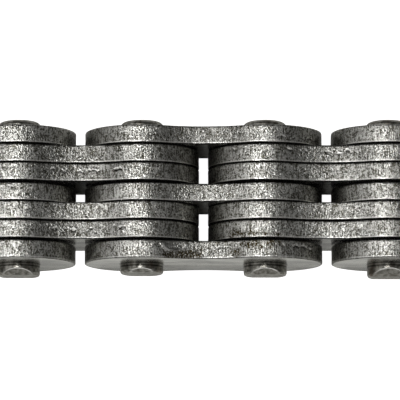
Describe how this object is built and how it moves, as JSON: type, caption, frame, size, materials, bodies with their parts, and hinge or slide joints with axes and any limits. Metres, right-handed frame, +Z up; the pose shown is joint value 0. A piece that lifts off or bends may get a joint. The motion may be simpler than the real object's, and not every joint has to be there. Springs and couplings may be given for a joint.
{
  "type": "leaf chain length",
  "caption": "Straight length of riveted leaf chain with 3 x 4 lacing: waisted steel plates stacked side by side on thick pins, lying on its plate edges.",
  "frame": {"origin": "on the floor, under the middle of the chain's bounding box", "axes": "+X along the chain towards pin 10, +Y along the pins towards the back row, +Z up from the floor that the plate edges lie on"},
  "size_m": [0.3152, 0.0402, 0.0294],
  "materials": {
    "plate_steel": "hardened plate steel, punched and shot peened, dark with chain oil, bright where the edges are rubbed",
    "pin_steel": "case-hardened round steel, ends riveted over, brownish with old oil"
  },
  "bodies": {
    "link_1": {"link1_outer_plate_back": "plate_steel", "link1_middle_plate": "plate_steel", "link1_outer_plate_front": "plate_steel", "pin_1": "pin_steel", "pin_2": "pin_steel"},
    "link_2": {"link2_inner_plate_1": "plate_steel", "link2_inner_plate_2": "plate_steel", "link2_inner_plate_3": "plate_steel", "link2_inner_plate_4": "plate_steel"},
    "link_3": {"link3_outer_plate_back": "plate_steel", "link3_middle_plate": "plate_steel", "link3_outer_plate_front": "plate_steel", "pin_3": "pin_steel", "pin_4": "pin_steel"},
    "link_4": {"link4_inner_plate_1": "plate_steel", "link4_inner_plate_2": "plate_steel", "link4_inner_plate_3": "plate_steel", "link4_inner_plate_4": "plate_steel"},
    "link_5": {"link5_outer_plate_back": "plate_steel", "link5_middle_plate": "plate_steel", "link5_outer_plate_front": "plate_steel", "pin_5": "pin_steel", "pin_6": "pin_steel"},
    "link_6": {"link6_inner_plate_1": "plate_steel", "link6_inner_plate_2": "plate_steel", "link6_inner_plate_3": "plate_steel", "link6_inner_plate_4": "plate_steel"},
    "link_7": {"link7_outer_plate_back": "plate_steel", "link7_middle_plate": "plate_steel", "link7_outer_plate_front": "plate_steel", "pin_7": "pin_steel", "pin_8": "pin_steel"},
    "link_8": {"link8_inner_plate_1": "plate_steel", "link8_inner_plate_2": "plate_steel", "link8_inner_plate_3": "plate_steel", "link8_inner_plate_4": "plate_steel"},
    "link_9": {"link9_outer_plate_back": "plate_steel", "link9_middle_plate": "plate_steel", "link9_outer_plate_front": "plate_steel", "pin_9": "pin_steel", "pin_10": "pin_steel"}
  },
  "joints": [
    {"name": "hinge_2", "type": "hinge", "parent": "link_1", "child": "link_2", "pos_m": [-0.11113, 0, 0.0147], "axis": [0, 1, 0], "range_deg": [-110, 110]},
    {"name": "hinge_3", "type": "hinge", "parent": "link_2", "child": "link_3", "pos_m": [-0.07938, 0, 0.0147], "axis": [0, -1, 0], "range_deg": [-110, 110]},
    {"name": "hinge_4", "type": "hinge", "parent": "link_3", "child": "link_4", "pos_m": [-0.04763, 0, 0.0147], "axis": [0, 1, 0], "range_deg": [-110, 110]},
    {"name": "hinge_5", "type": "hinge", "parent": "link_4", "child": "link_5", "pos_m": [-0.01588, 0, 0.0147], "axis": [0, -1, 0], "range_deg": [-110, 110]},
    {"name": "hinge_6", "type": "hinge", "parent": "link_5", "child": "link_6", "pos_m": [0.01588, 0, 0.0147], "axis": [0, 1, 0], "range_deg": [-110, 110]},
    {"name": "hinge_7", "type": "hinge", "parent": "link_6", "child": "link_7", "pos_m": [0.04763, 0, 0.0147], "axis": [0, -1, 0], "range_deg": [-110, 110]},
    {"name": "hinge_8", "type": "hinge", "parent": "link_7", "child": "link_8", "pos_m": [0.07938, 0, 0.0147], "axis": [0, 1, 0], "range_deg": [-110, 110]},
    {"name": "hinge_9", "type": "hinge", "parent": "link_8", "child": "link_9", "pos_m": [0.11113, 0, 0.0147], "axis": [0, -1, 0], "range_deg": [-110, 110]}
  ]
}
